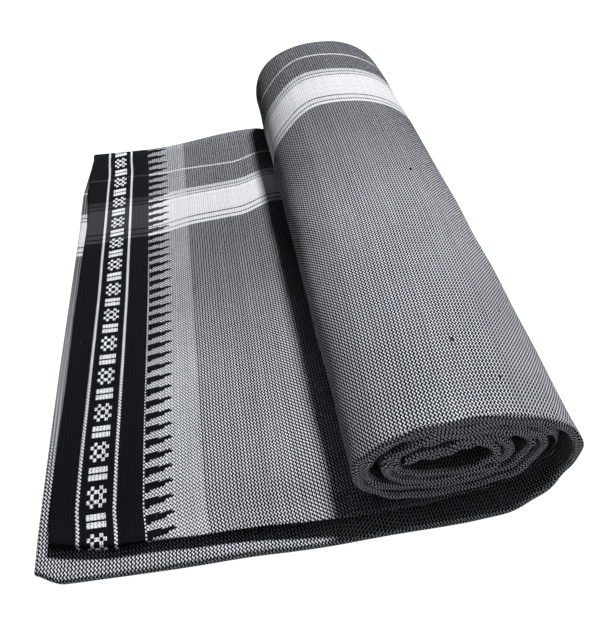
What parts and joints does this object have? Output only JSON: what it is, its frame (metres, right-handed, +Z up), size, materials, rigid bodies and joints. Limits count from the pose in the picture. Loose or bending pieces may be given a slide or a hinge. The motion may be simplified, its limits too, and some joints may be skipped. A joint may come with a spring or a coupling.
{
  "type": "folded and partly rolled cotton lungi",
  "caption": "Handwoven cotton lungi folded into a long pad and partly rolled, grey body cloth with a black patterned selvage border and pale cross bands.",
  "frame": {"origin": "middle of the underside, on the surface it lies on", "axes": "+X from the flat bordered edge towards the roll, +Y from the open front folds to the back fold, +Z up"},
  "size_m": [0.1872, 0.2738, 0.06],
  "materials": {
    "grey_cotton": "matte plain weave of black and white cotton yarns",
    "bordered_cotton": "matte grey plain weave with a black extra warp border and white bands"
  },
  "bodies": {
    "root": {"lower_leaf_flat": "grey_cotton", "upper_leaf_flat": "bordered_cotton", "lower_leaf_outer_turn": "grey_cotton", "upper_leaf_outer_turn": "grey_cotton", "lower_leaf_second_turn": "grey_cotton", "upper_leaf_second_turn": "grey_cotton", "lower_leaf_inner_end": "grey_cotton", "upper_leaf_inner_end": "grey_cotton"}
  },
  "joints": []
}
